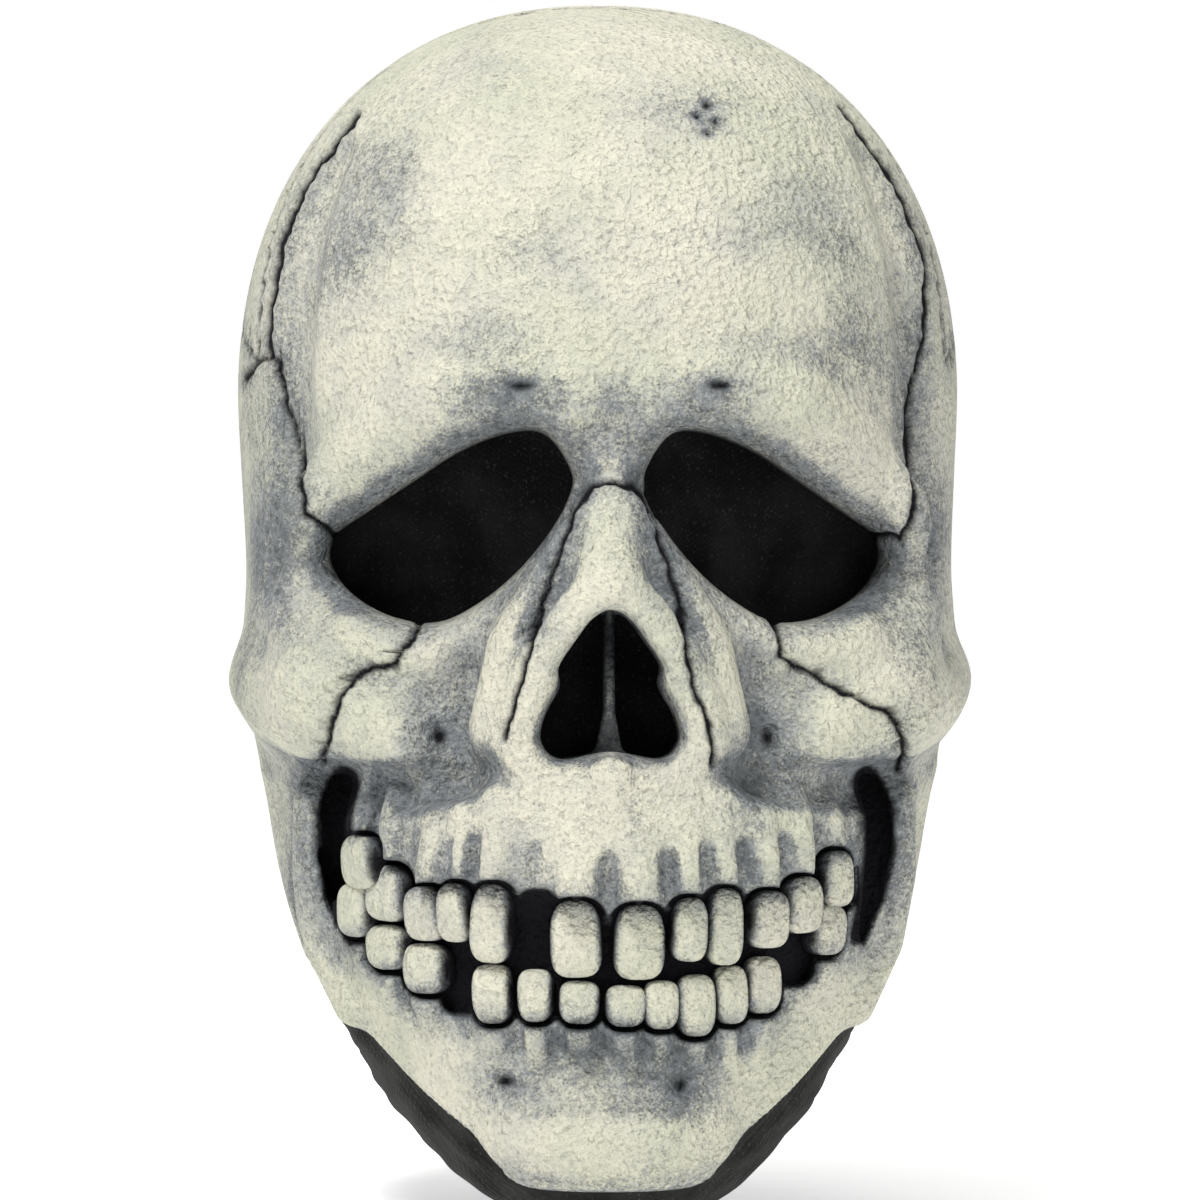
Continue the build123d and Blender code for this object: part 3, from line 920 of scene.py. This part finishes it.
class MASK_OT_casting(bpy.types.Operator):
    """Sculpt the latex casting and paint it"""

    bl_idname = "mask.casting"
    bl_label = "Latex casting"

    def execute(self, context):
        step = settings().voxel
        clay = make_mask_clay(step)
        CLAY["mask"] = clay
        wall = hollow_out(clay)
        skull = clay_mesh("skull_skin", clay, wall)
        faces = len(skull.data.polygons) * 2
        apply_modifier(skull, "DECIMATE", ratio=min(1.0, SKIN_TRIANGLES / faces), use_collapse_triangulate=True)
        self.refine(skull)
        p, n = mesh_arrays(skull)
        d = crack_distance(p, n)
        outer = clay.sample(clay.skin, p) > -1.2
        d[~outer] = 99
        set_places(skull, p - n * (SUTURE_DEPTH * np.exp(-((d / 0.9) ** 2)))[:, None])
        self.paint_skin(skull, clay, p, n, d, outer)
        select_only(skull)
        bpy.ops.object.shade_smooth()
        finish_piece(skull, "mask", "latex", "skull_casting", material=painted_latex(settings()))
        return {"FINISHED"}

    @staticmethod
    def refine(skull):
        """Splits the edges near suture lines, so that the lines are cut cleanly."""
        for limit in (1.3, 0.75):
            p, n = mesh_arrays(skull)
            near = crack_distance(p, n) < 1.6 + limit
            bm = bmesh.new()
            bm.from_mesh(skull.data)
            bm.verts.ensure_lookup_table()
            edges = [
                e for e in bm.edges
                if near[e.verts[0].index] and near[e.verts[1].index] and e.calc_length() > limit * MM
            ]
            bmesh.ops.subdivide_edges(bm, edges=edges, cuts=1)
            bmesh.ops.triangulate(bm, faces=[f for f in bm.faces if len(f.verts) > 3])
            bm.to_mesh(skull.data)
            bm.free()

    @staticmethod
    def paint_skin(skull, clay, p, n, d, outer):
        def closed(reach):
            at = p + n * reach
            held = np.all((at > clay.low) & (at < clay.low + clay.step * (clay.count - 1)), axis=1)
            return np.clip(1 - clay.sample(clay.skin, at) / reach, 0, 1) * held

        # Painted shade with the sponged paint: how closed-in each point is, at three reaches, darkens it as
        # shade falls in hollows.
        near, mid, far = closed(2.5), closed(7.0), closed(16.0)
        x, y, z = p.T
        wash_and_shade = 1.1 * np.clip(
            near - 0.08, 0, 1
        ) + 1.4 * np.clip(mid - 0.08, 0, 1) + 0.9 * np.clip(far - 0.18, 0, 1)
        wash_and_shade = wash_and_shade + 0.22 * np.exp(-((d / 3.0) ** 2))
        for cx, cz, rx, rz, amount in WASH_AND_SHADE_PATCHES:
            wash_and_shade += amount * np.exp(-(((x - cx) / rx) ** 2) - ((z - cz) / rz) ** 2) * (y < 20)
        # Painted shade: both sides of the head are darkened, as if turned away from the light.
        wash_and_shade += 0.30 * np.clip((np.abs(x) - 64) / 20, 0, 1)
        bed = mouth_bed(x, z)
        ahead = np.clip(-y / 30, 0, 1)
        wash_and_shade += 0.45 * np.exp(-((np.maximum(bed, 0) / 4.0) ** 2)) * ahead
        front = (n[:, 1] < 0.8) & (y < -30)
        ink = np.clip(0.7 - bed / 0.9, 0, 1) * front * outer * (far > 0.05)
        eyes = np.minimum(*(outline_distance(rounded_outline(rim), x, z) for rim in EYES))
        into = y - head_front(x, z)
        wash_and_shade += (
            0.42 * np.exp(-((np.maximum(eyes, 0) / 5.5) ** 2))
            + 0.22 * np.exp(-((np.maximum(eyes, 0) / 13) ** 2)) * (z > bite(x) + 92)
        ) * ahead
        ink = np.maximum(ink, np.clip((0.9 - eyes) / 1.8, 0, 1) * (y < -30))
        ink = np.maximum(ink, np.clip((into - 8) / 4, 0, 1) * (eyes < 6) * (y < -30))
        nose = outline_distance(rounded_outline(NOSE_OPENING), x, z)
        septum = np.clip(
            1.4 - (np.abs(x) - 2.6 * np.clip((119 - z) / 12, 0, 1)) / 1.4, 0, 1
        ) * np.clip((132 - z) / 12, 0.15, 1)
        ink = np.maximum(ink, np.clip((0.5 - nose) / 1.3, 0, 1) * (y < -70) * (1 - 0.85 * septum * (y < -92)))
        wash_and_shade += 0.20 * np.exp(-((np.maximum(nose, 0) / 3.0) ** 2)) * ahead + 0.5 * (nose < 0) * ahead
        for s in (-1, 1):
            gap = line_distance(np.array([(s * a, b) for a, b, _ in JAW_SLOT], float), x, z)
            slot = np.clip((np.interp(z, (66, 75, 95, 101), (2.6, 3.8, 4.6, 3.8)) + 0.4 - gap) / 1.0, 0, 1)
            ink = np.maximum(ink, slot * (y < -20))
            wash_and_shade += 0.55 * np.exp(-((np.maximum(gap - 4, 0) / 5.0) ** 2)) * ahead
        for cx, cz, across, tall in PITS:
            pit = np.sqrt(((x - cx) / across) ** 2 + ((z - cz) / tall) ** 2)
            ink = np.maximum(ink, np.clip(1.6 - pit * 1.5, 0, 1) * front)
            wash_and_shade += 0.3 * np.exp(-((pit / 3.0) ** 2)) * front
        wash_and_shade = np.clip(wash_and_shade, 0, 2)
        wash_and_shade = 0.80 * (1 - np.exp(-wash_and_shade / 0.75))
        paint(skull, "wash_and_shade", np.where(outer, wash_and_shade, 0.0))
        paint(skull, "crack", np.clip(1.25 * np.exp(-((d / 0.72) ** 2)), 0, 1) * outer)
        paint(skull, "ink", np.where(outer | (eyes < 5), ink, 0.0))


# Sponged paint patches, and painted shade in the temple pits, along the temple lines and down the jaw flanks,
# as seen from the front: middle x, height, half width, half height, strength.
WASH_AND_SHADE_PATCHES = (
    (
        -52, 233.5, 12, 16, 0.50
    ), (-62, 220, 8, 14, 0.45), (-33, 202, 20, 6, 0.35), (-24, 188, 14, 5, 0.50), (18, 187, 14, 5, 0.45),
    (40, 200, 16, 7, 0.30), (36, 225, 20, 7, 0.32), (47, 236, 14, 8, 0.32), (57, 209, 9, 20, 0.35), (
        -2, 225, 22, 10, 0.15
    ),
    (1, 186, 7, 8, 0.32), (-15, 220, 10, 8, 0.20), (20, 254, 22, 8, 0.30), (-30, 258, 18, 9, 0.18), (
        -72.3, 187, 5, 24, 0.60
    ),
    (70.5, 191, 5, 24, 0.60), (-76.5, 155, 5, 13, 1.6), (76.5, 158, 4, 14, 1.4), (-69, 133, 10, 8, 0.30), (
        71.6, 137, 8, 10, 0.35
    ),
    (
        -14.3, 146, 5, 14, 0.50
    ), (10, 151, 5, 10, 0.40), (18, 131, 5, 9, 0.35), (-37.7, 112, 9, 9, 0.50), (36, 112, 9, 10, 0.50),
    (-20, 86, 5, 10, 0.45), (6, 90, 5, 9, 0.25), (-46, 92, 5, 9, 0.40), (30, 90, 5, 9, 0.35), (
        -24, 35, 10, 8, 0.50
    ),
    (16, 35, 9, 7, 0.45), (-2, 41.5, 16, 6, 0.30), (
        -40, 50.5, 9, 8, 0.35
    ), (36, 44, 9, 8, 0.30), (-71, 80, 7, 20, 0.40), (66, 84, 6, 20, 0.40),
)


def head_front(x, z):
    """The y of the bare head form's front at each (x, z)."""
    width, front, wide, _ = station_values(z)
    rise = np.clip((z - CROWN_Z) / CROWN_RISE, 0, 1) ** SQUARENESS
    left = np.clip(1 - (np.abs(x) / width) ** SQUARENESS - rise, 0, 1)
    return wide - (wide - front) * left ** (1 / SQUARENESS)


class MASK_OT_teeth(bpy.types.Operator):
    """Stand the moulded teeth in the mouth's dark bed"""

    bl_idname = "mask.teeth"
    bl_label = "Teeth"

    def execute(self, context):
        beds = CLAY["mask"].teeth_bed
        rows = (
            ("upper_teeth", beds[: len(UPPER_TEETH)], True), ("lower_teeth", beds[len(UPPER_TEETH) :], False)
        )
        material = bpy.data.materials["painted latex"]
        rng = np.random.default_rng(5)
        for name, row, upper in rows:
            made = [self.tooth(f"{name}_{k}", bed, upper, rng) for k, bed in enumerate(row)]
            bpy.ops.object.select_all(action="DESELECT")
            for obj in made:
                obj.select_set(True)
            bpy.context.view_layer.objects.active = made[0]
            bpy.ops.object.join()
            teeth = bpy.context.view_layer.objects.active
            teeth.name = name
            bpy.ops.object.shade_smooth()
            finish_piece(teeth, "mask", "latex", material=material)
        return {"FINISHED"}

    @staticmethod
    def tooth(name, bed, upper, rng):
        x, width, low, high, middle, left, right = bed
        bpy.ops.object.select_all(action="DESELECT")
        bpy.ops.mesh.primitive_cube_add(size=2, location=(0, 0, 0))
        obj = bpy.context.object
        obj.name = name
        bpy.ops.object.mode_set(mode="EDIT")
        bpy.ops.mesh.select_all(action="SELECT")
        bpy.ops.mesh.subdivide(number_cuts=9)
        bpy.ops.object.mode_set(mode="OBJECT")
        p, _ = mesh_arrays(obj)
        p = p * MM
        power = 3.3
        p = p / (np.abs(p) ** power).sum(1, keepdims=True) ** (1 / power)
        to_root = p[:, 2] if upper else -p[:, 2]
        shape = p.copy()
        shape[:, 0] *= 1 - 0.15 * np.clip(to_root, 0, 1) ** 2 + 0.03 * np.clip(-to_root, 0, 1)
        shape[:, 1] = np.sign(shape[:, 1]) * np.abs(shape[:, 1]) ** 0.8
        shape[:, 1] *= 1 - 0.22 * np.clip(-to_root, 0, 1) ** 2
        lump = 0.05 * np.sin(
            p[:, 0] * rng.uniform(2, 4) + rng.uniform(0, 6)
        ) + 0.04 * np.sin(p[:, 2] * 3 + rng.uniform(0, 6))
        shape[:, 1] += lump
        tilt = rng.uniform(-0.045, 0.045)
        out = np.empty_like(shape)
        lx = shape[:, 0] * (width + 0.3) / 2
        lz = shape[:, 2] * (high - low + 0.3) / 2
        ly = shape[:, 1] * TOOTH_HALF_DEPTH
        lx, lz = lx * math.cos(tilt) - lz * math.sin(tilt), lx * math.sin(tilt) + lz * math.cos(tilt)
        slope = (right - left) / 5.0
        turn = math.atan(slope)
        out[:, 0] = x + lx - ly * math.sin(turn)
        out[:, 1] = middle + 2.3 + lx * slope + ly * math.cos(turn)
        out[:, 2] = (low + high) / 2 + lz
        set_places(obj, out)
        side = np.clip((np.abs(p[:, 0]) - 0.66) / 0.26, 0, 1)
        root = np.clip((to_root - 0.35) / 0.5, 0, 1)
        tip = np.clip((-to_root - 0.80) / 0.2, 0, 1)
        back = np.clip((p[:, 1] + 0.35) / 0.5, 0, 1)
        # Staining and painted shade on each tooth: darker at its sides, root, tip and back.
        paint(
            obj, "wash_and_shade",
            np.clip(0.08 + 0.34 * side + 0.34 * root + 0.16 * tip + 0.5 * back + 0.1 * rng.random(), 0, 1),
        )
        paint(obj, "ink", np.clip(np.maximum(1.2 * back - 0.1, (np.abs(p[:, 0]) - 0.86) / 0.14), 0, 1))
        paint(obj, "crack", np.zeros(len(p)))
        return obj


# Lamps: name, place (m), size (m), power (W). The camera: bearing and height (degrees), distance
# (m), aim (m), lens (mm).
LAMPS = (
    ("key", (-0.50, -0.95, 1.6), 0.45, 28),
    ("fill", (1.1, -1.3, 0.6), 1.0, 3),
    ("top", (0.1, 0.1, 1.6), 0.9, 5),
)
LAMP_AIM = (0, 0, 0.15)
CAMERA_BEARING, CAMERA_HEIGHT, CAMERA_AWAY = -1.5, 0.0, 1.6
CAMERA_AIM = (0.0005, 0, 0.1428)
CAMERA_LENS, CAMERA_SENSOR = 201.5, 36


class MASK_OT_stage(bpy.types.Operator):
    """Set the pale floor, the soft lights and the camera"""

    bl_idname = "mask.stage"
    bl_label = "Stage"

    def execute(self, context):
        bpy.ops.object.select_all(action="DESELECT")
        bpy.ops.mesh.primitive_plane_add(size=8, location=(0, 0, -0.0005))
        floor = bpy.context.object
        floor.name = "stage_floor"
        bpy.ops.object.mode_set(mode="EDIT")
        bm = bmesh.from_edit_mesh(floor.data)
        for edge in bm.edges:
            edge.select_set(all(v.co.y > 3 for v in edge.verts))
        for vert in bm.verts:
            vert.select_set(vert.co.y > 3)
        bm.select_flush_mode()
        bmesh.update_edit_mesh(floor.data)
        bpy.ops.mesh.extrude_region_move(TRANSFORM_OT_translate={"value": (0, 0, 5)})
        bpy.ops.object.mode_set(mode="OBJECT")
        apply_modifier(floor, "BEVEL", width=2.2, segments=24, limit_method="ANGLE")
        bpy.ops.object.shade_smooth()
        select_only(floor)
        bpy.ops.object.transform_apply(location=True, rotation=True, scale=True)
        material, _, shader = new_material("pale floor", 0.9, 0.1)
        shader.inputs["Base Color"].default_value = (0.92, 0.92, 0.92, 1)
        shader.inputs["Emission Color"].default_value = (1, 1, 1, 1)
        shader.inputs["Emission Strength"].default_value = 0.48
        floor.data.materials.append(material)
        world = context.scene.world or bpy.data.worlds.new("studio")
        context.scene.world = world
        world.use_nodes = True
        world.node_tree.nodes["Background"].inputs["Color"].default_value = (1, 1, 1, 1)
        world.node_tree.nodes["Background"].inputs["Strength"].default_value = 0.33
        context.scene.view_settings.view_transform = "Standard"
        for name, place, size, power in LAMPS:
            lamp = bpy.data.lights.new(name, "AREA")
            lamp.size = size
            lamp.energy = power
            obj = bpy.data.objects.new(name, lamp)
            context.collection.objects.link(obj)
            obj.location = place
            obj.rotation_euler = (Vector(LAMP_AIM) - Vector(place)).to_track_quat("-Z", "Y").to_euler()
        camera = bpy.data.objects.new("camera", bpy.data.cameras.new("camera"))
        context.collection.objects.link(camera)
        camera.data.sensor_width = CAMERA_SENSOR
        camera.data.lens = CAMERA_LENS
        azimuth, elevation = math.radians(CAMERA_BEARING), math.radians(CAMERA_HEIGHT)
        aim = Vector(CAMERA_AIM)
        level = math.cos(elevation)
        towards = Vector((math.sin(azimuth) * level, -math.cos(azimuth) * level, math.sin(elevation)))
        camera.location = aim + towards * CAMERA_AWAY
        camera.rotation_euler = (aim - camera.location).to_track_quat("-Z", "Y").to_euler()
        context.scene.camera = camera
        return {"FINISHED"}


def form_place(turn, z, inset):
    """Where a level outline of the head form passes at an angle; turn is -90 degrees at the face."""
    width, front, wide, back = station_values(z)
    across, along = np.cos(turn), np.sin(turn)
    x = (width - inset) * np.sign(across) * np.abs(across) ** (2 / SQUARENESS)
    reach = np.where(along < 0, wide - front - inset, back - wide - inset)
    return x, wide + reach * np.sign(along) * np.abs(along) ** (2 / SQUARENESS)


def turn_at(y, z, inset):
    """The angle at which the outline at height z passes y, on the wearer's left."""
    _, front, wide, back = station_values(z)
    reach = np.where(y > wide, back - wide - inset, wide - front - inset)
    return np.sign(y - wide) * np.arcsin(np.clip(np.abs(y - wide) / reach, 0, 1) ** (SQUARENESS / 2))


def turn_beside_slit(z, inset, half):
    width = station_values(z)[0]
    return math.pi / 2 + 0 * z - np.arcsin(np.clip(half / (width - inset), 0, 1) ** (SQUARENESS / 2))


class MASK_OT_collar(bpy.types.Operator):
    """Sew the black collar: a front part and two rear flaps."""

    bl_idname = "mask.collar"
    bl_label = "Collar"

    def execute(self, context):
        material = black_cloth("collar cloth", settings().cloth, 2600.0)
        inset = WALL + 0.4
        front = self.sheet_piece("collar_front_cloth", 190, 26, inset, True, COLLAR_LAP)
        finish_piece(front, "mask", "collar_cloth", "collar_front", material=material)
        for side, name in ((1, "left"), (-1, "right")):
            flap = self.sheet_piece(f"collar_flap_{name}_cloth", 90, 34, inset, False, -1.0, side)
            finish_piece(flap, f"flap_{name}", "collar_cloth", f"collar_flap_{name}", material=material)
            flap.parent = None
            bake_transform(flap)
        return {"FINISHED"}

    @staticmethod
    def sheet_piece(name, columns, rows, inset, is_front, lap, side=1):
        u = np.linspace(-1 if is_front else 0, 1, columns)[None, :] * np.ones((rows, 1))
        v = np.linspace(0, 1, rows)[:, None] * np.ones((1, columns))
        z = np.full(u.shape, 40.0)
        for _ in range(12):
            if is_front:
                turn = -math.pi / 2 + np.abs(u) * (turn_at(14.0, z, inset) + math.pi / 2)
            else:
                start = turn_at(14.25, z, inset)
                turn = start + u * (turn_beside_slit(z, inset, 0.4) - start)
            x, y = form_place(turn, z, inset)
            goal = line_height(HEM_LINE, y) + v * (line_height(JAW_LINE, y) + lap - line_height(HEM_LINE, y))
            z = 0.5 * z + 0.5 * goal
        x = x * (np.where(u < 0, -1, 1) if is_front else side)
        centre_y = station_values(z)[2]
        nx, ny = x, y - centre_y
        size = np.sqrt(nx**2 + ny**2)
        free = np.clip((line_height(JAW_LINE, y) - 1.5 - z) / 5, 0, 1) * np.clip(v * 8, 0.3, 1)
        free = free * (1 if is_front else np.clip(u * 9, 0, 1) * np.clip((np.abs(x) - 38) / 12, 0, 1))
        along = np.arctan2(ny, nx) * 60
        fold = 0.8 * np.sin(
            z * 0.42 + 0.10 * along + 1.1 * np.sin(along * 0.10)
        ) + 0.5 * np.sin(z * 0.9 - along * 0.16 + 2.0)
        fold = fold * 0.55 * free + 1.1 * free
        x, y = x + fold * nx / size, y + fold * ny / size
        verts = np.stack([x, y, z], axis=-1).reshape(-1, 3) * MM
        faces = []
        for r in range(rows - 1):
            for c in range(columns - 1):
                a = r * columns + c
                quad = (a, a + 1, a + columns + 1, a + columns)
                faces.append(quad[::-1] if side < 0 else quad)
        mesh = bpy.data.meshes.new(name)
        mesh.from_pydata(verts.tolist(), [], faces)
        mesh.update()
        obj = bpy.data.objects.new(name, mesh)
        bpy.context.collection.objects.link(obj)
        apply_modifier(obj, "SOLIDIFY", thickness=CLOTH_THICKNESS * MM, offset=-1.0)
        select_only(obj)
        bpy.ops.object.shade_smooth_by_angle(angle=math.radians(50))
        return obj


class MASK_OT_pads(bpy.types.Operator):
    """Shape the foam pads that are glued inside the crown"""

    bl_idname = "mask.pads"
    bl_label = "Foam pads"

    def execute(self, context):
        material = foam(settings().foam)
        clay = CLAY["mask"]
        for name, ignore in (
            ("crown_pad", 2), ("forehead_pad", 1), ("occiput_pad", 1), ("temple_pad_left", 0),
            ("temple_pad_right", 0),
        ):
            low, high = (np.array(c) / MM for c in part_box(name))
            where, x, y, z = clay.window(low - 6, high + 6)
            room = np.maximum(clay.base[where] + WALL, clay.skin[where] + THIN_WALL)
            centre, half = (low + high) / 2, (high - low) / 2 - 9
            q = [np.abs(axis - c) - h for axis, c, h in zip((x, y, z), centre, half)]
            q[ignore] = np.full((1, 1, 1), -5.0) if ignore == 2 else np.minimum(q[ignore], -5.0)
            rim = np.sqrt(sum(np.maximum(a, 0) ** 2 for a in q)) - 9
            crown = 1.2 * np.clip(-rim / 14, 0, 1)
            pad = smooth_high(smooth_high(room + 0.5, -(room + 9.8 + crown), 3.5), rim.astype(np.float32), 5)
            pad = np.pad(pad, 1, constant_values=4.0)
            obj = clay_mesh(
                name + "_foam", clay, pad, clay.low + (np.array([s.start for s in where]) - 1) * clay.step
            )
            faces = len(obj.data.polygons) * 2
            apply_modifier(obj, "DECIMATE", ratio=min(1.0, PAD_TRIANGLES / faces))
            select_only(obj)
            bpy.ops.object.shade_smooth()
            finish_piece(obj, "mask", "foam", name, material=material)
        return {"FINISHED"}


class MASK_OT_cloth(bpy.types.Operator):
    """Give the gauze, tapes, tab, patches, thread and label their finishes"""

    bl_idname = "mask.cloth"
    bl_label = "Tapes, tab and gauze"

    def execute(self, context):
        s = settings()
        cloth = tuple(s.cloth)
        finishes = {
            "screen": black_cloth("black gauze", (0.004, 0.004, 0.004), 5200.0),
            "label": black_cloth("satin label", (0.62, 0.61, 0.58), 6200.0, 0.5),
            "stitches": black_cloth("grey thread", (0.10, 0.10, 0.095), 7400.0, 0.7),
            "loop_patch": fastener("loop pile", cloth, 1500.0, 0.0010),
            "hook_patch": fastener("moulded hooks", (0.018, 0.018, 0.019), 820.0, 0.0014, 0.55),
            "tab_root": black_cloth("black webbing", (0.017, 0.017, 0.018), 1900.0, 0.75),
            "tab_pull_end": black_cloth("black webbing end", (0.017, 0.017, 0.018), 1900.0, 0.75),
        }
        tape = black_cloth("twill tape", (0.016, 0.016, 0.016), 4200.0, 0.85)
        for name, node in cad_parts.items():
            if name == "skull_casting" or "_pad" in name or name.startswith(("collar_front", "collar_flap")):
                continue
            kind = next((finish for part, finish in finishes.items() if part in name), tape)
            node.data.materials.clear()
            node.data.materials.append(kind)
        return {"FINISHED"}


class MASK_PT_panel(bpy.types.Panel):
    """Sidebar panel that lists the mask's steps"""

    bl_idname = "MASK_PT_panel"
    bl_label = "Skull Mask"
    bl_space_type = "VIEW_3D"
    bl_region_type = "UI"
    bl_category = "Skull Mask"

    def draw(self, context):
        for name in MASK_PG_settings.__annotations__:
            self.layout.prop(context.scene.skull_mask, name)
        for step in STEPS:
            self.layout.operator(step.bl_idname)


STEPS = (MASK_OT_casting, MASK_OT_teeth, MASK_OT_pads, MASK_OT_collar, MASK_OT_cloth, MASK_OT_stage)
CLASSES = (MASK_PG_settings, *STEPS, MASK_PT_panel)


def register():
    for cls in CLASSES:
        bpy.utils.register_class(cls)
    bpy.types.Scene.skull_mask = PointerProperty(type=MASK_PG_settings)


def unregister():
    del bpy.types.Scene.skull_mask
    for cls in reversed(CLASSES):
        bpy.utils.unregister_class(cls)


def main():
    register()
    build_groups()
    bpy.ops.mask.casting()
    bpy.ops.mask.teeth()
    bpy.ops.mask.pads()
    bpy.ops.mask.collar()
    bpy.ops.mask.cloth()
    bpy.ops.mask.stage()


if __name__ == "__main__":
    main()
